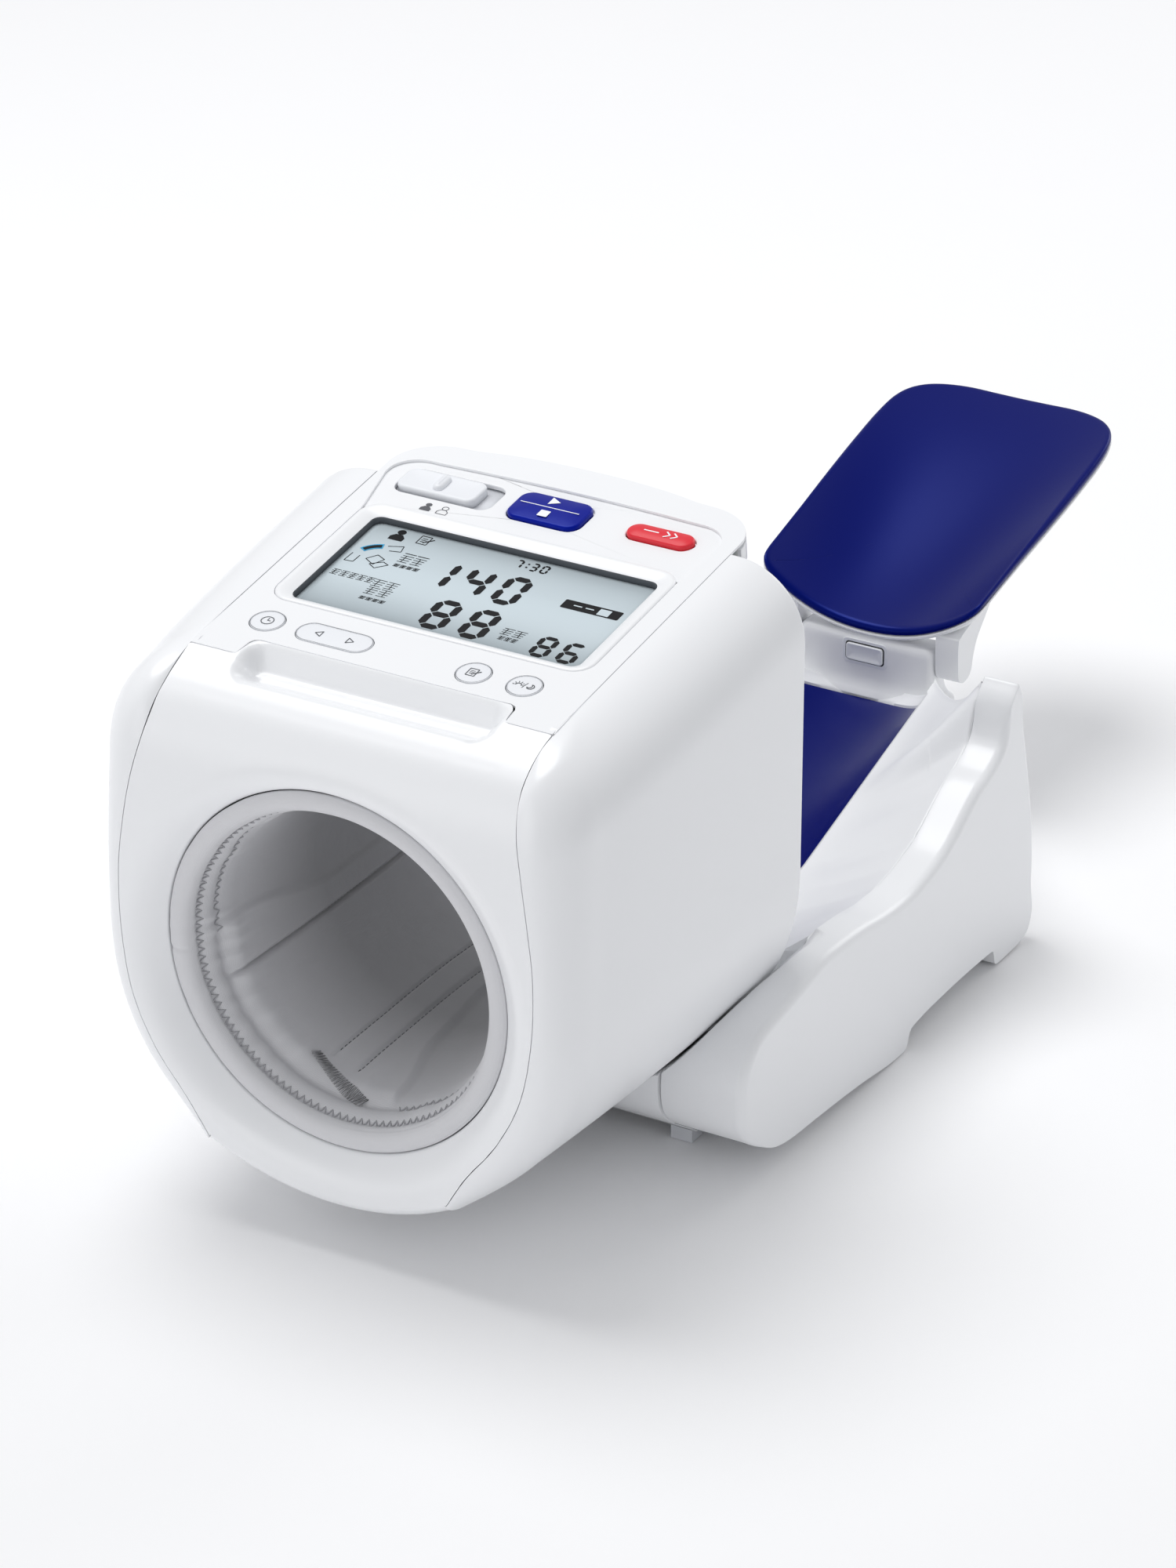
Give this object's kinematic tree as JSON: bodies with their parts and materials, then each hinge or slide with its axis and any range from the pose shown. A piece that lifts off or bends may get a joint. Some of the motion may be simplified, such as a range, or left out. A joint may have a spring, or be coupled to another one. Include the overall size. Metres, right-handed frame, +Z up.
{
  "type": "arm-through blood pressure monitor",
  "caption": "Desk-top upper-arm blood pressure monitor with a tilting arm-through cuff drum, sloping display and keys, elbow trough and fold-up arm rest.",
  "frame": {"origin": "centre of the part's bounding box at the height its feet stand on", "axes": "+X to the right seen from the user, +Y from the user's shoulder side towards the arm rest, +Z up"},
  "size_m": [0.224, 0.5569, 0.2331],
  "materials": {
    "white_shell": "gloss moulded",
    "navy_gloss": "gloss moulded",
    "red_key": "satin",
    "grey_fabric": "woven nylon",
    "lcd_face": "satin",
    "rubber": "matt",
    "steel": "plain",
    "black_plastic": "matt",
    "board": "satin"
  },
  "bodies": {
    "base": {"cradle_right": "white_shell", "cradle_left": "white_shell", "side_shell_right": "white_shell", "side_shell_left": "white_shell", "upper_case": "white_shell", "elbow_insert": "navy_gloss", "lower_case": "white_shell", "battery_cell_1": "steel", "battery_cell_2": "steel", "battery_cell_3": "steel", "battery_cell_4": "steel", "foot_front_right": "white_shell", "foot_front_left": "white_shell", "foot_rear_right": "rubber", "foot_rear_left": "rubber", "hinge_bracket": "white_shell", "hinge_pin": "steel", "power_inlet": "black_plastic"},
    "drum": {"side_cover_right": "white_shell", "side_cover_left": "white_shell", "drum_underside": "white_shell", "front_panel": "white_shell", "grip_cup": "white_shell", "top_panel": "white_shell", "display_lens": "white_shell", "arm_tube": "white_shell", "rear_panel": "white_shell", "cuff_liner": "grey_fabric", "display_module": "lcd_face", "main_board": "board", "cuff_bladder": "black_plastic", "cuff_band": "black_plastic", "exhaust_valve": "black_plastic", "pressure_sensor": "black_plastic", "air_pump": "steel", "tilt_pin_right": "steel", "tilt_pin_left": "steel", "air_hose": "rubber"},
    "arm_rest": {"rest_shell": "white_shell", "rest_pad": "navy_gloss"},
    "latch": {"latch_button": "white_shell"},
    "start_stop_key": {"start_stop_button": "navy_gloss"},
    "deflate_key": {"deflate_button": "red_key"},
    "clock_key": {"clock_button": "white_shell"},
    "memory_key": {"memory_button": "white_shell"},
    "daytime_key": {"daytime_button": "white_shell"},
    "recall_rocker": {"memory_rocker": "white_shell"},
    "user_switch": {"user_switch": "white_shell"},
    "battery_door": {"battery_door": "white_shell"}
  },
  "joints": [
    {"name": "drum_tilt", "type": "hinge", "parent": "base", "child": "drum", "pos_m": [0, -0.13695, 0.04], "axis": [-1, 0, 0], "range_deg": [0, 15]},
    {"name": "armrest_fold", "type": "hinge", "parent": "base", "child": "arm_rest", "pos_m": [0, 0.14455, 0.065], "axis": [1, 0, 0], "range_deg": [0, 55]},
    {"name": "latch_press", "type": "slide", "parent": "base", "child": "latch", "axis": [0, 1, 0], "range_m": [0, 0.0014], "stiffness_N_per_m": 400},
    {"name": "start_stop_press", "type": "slide", "parent": "drum", "child": "start_stop_key", "axis": [0, 0.1374, -0.9905], "range_m": [0, 0.001], "stiffness_N_per_m": 300},
    {"name": "deflate_press", "type": "slide", "parent": "drum", "child": "deflate_key", "axis": [0, 0.1374, -0.9905], "range_m": [0, 0.001], "stiffness_N_per_m": 300},
    {"name": "clock_press", "type": "slide", "parent": "drum", "child": "clock_key", "axis": [0, 0.1374, -0.9905], "range_m": [0, 0.001], "stiffness_N_per_m": 300},
    {"name": "memory_press", "type": "slide", "parent": "drum", "child": "memory_key", "axis": [0, 0.1374, -0.9905], "range_m": [0, 0.001], "stiffness_N_per_m": 300},
    {"name": "daytime_press", "type": "slide", "parent": "drum", "child": "daytime_key", "axis": [0, 0.1374, -0.9905], "range_m": [0, 0.001], "stiffness_N_per_m": 300},
    {"name": "recall_rock", "type": "hinge", "parent": "drum", "child": "recall_rocker", "pos_m": [-0.0277, -0.21961, 0.21148], "axis": [0, 0.9905, 0.1374], "range_deg": [-2.5, 2.5], "stiffness_Nm_per_rad": 0.05},
    {"name": "user_slide", "type": "slide", "parent": "drum", "child": "user_switch", "axis": [1, 0, 0], "range_m": [0, 0.006]},
    {"name": "battery_door_slide", "type": "slide", "parent": "base", "child": "battery_door", "axis": [0, 1, 0], "range_m": [0, 0.009]}
  ]
}
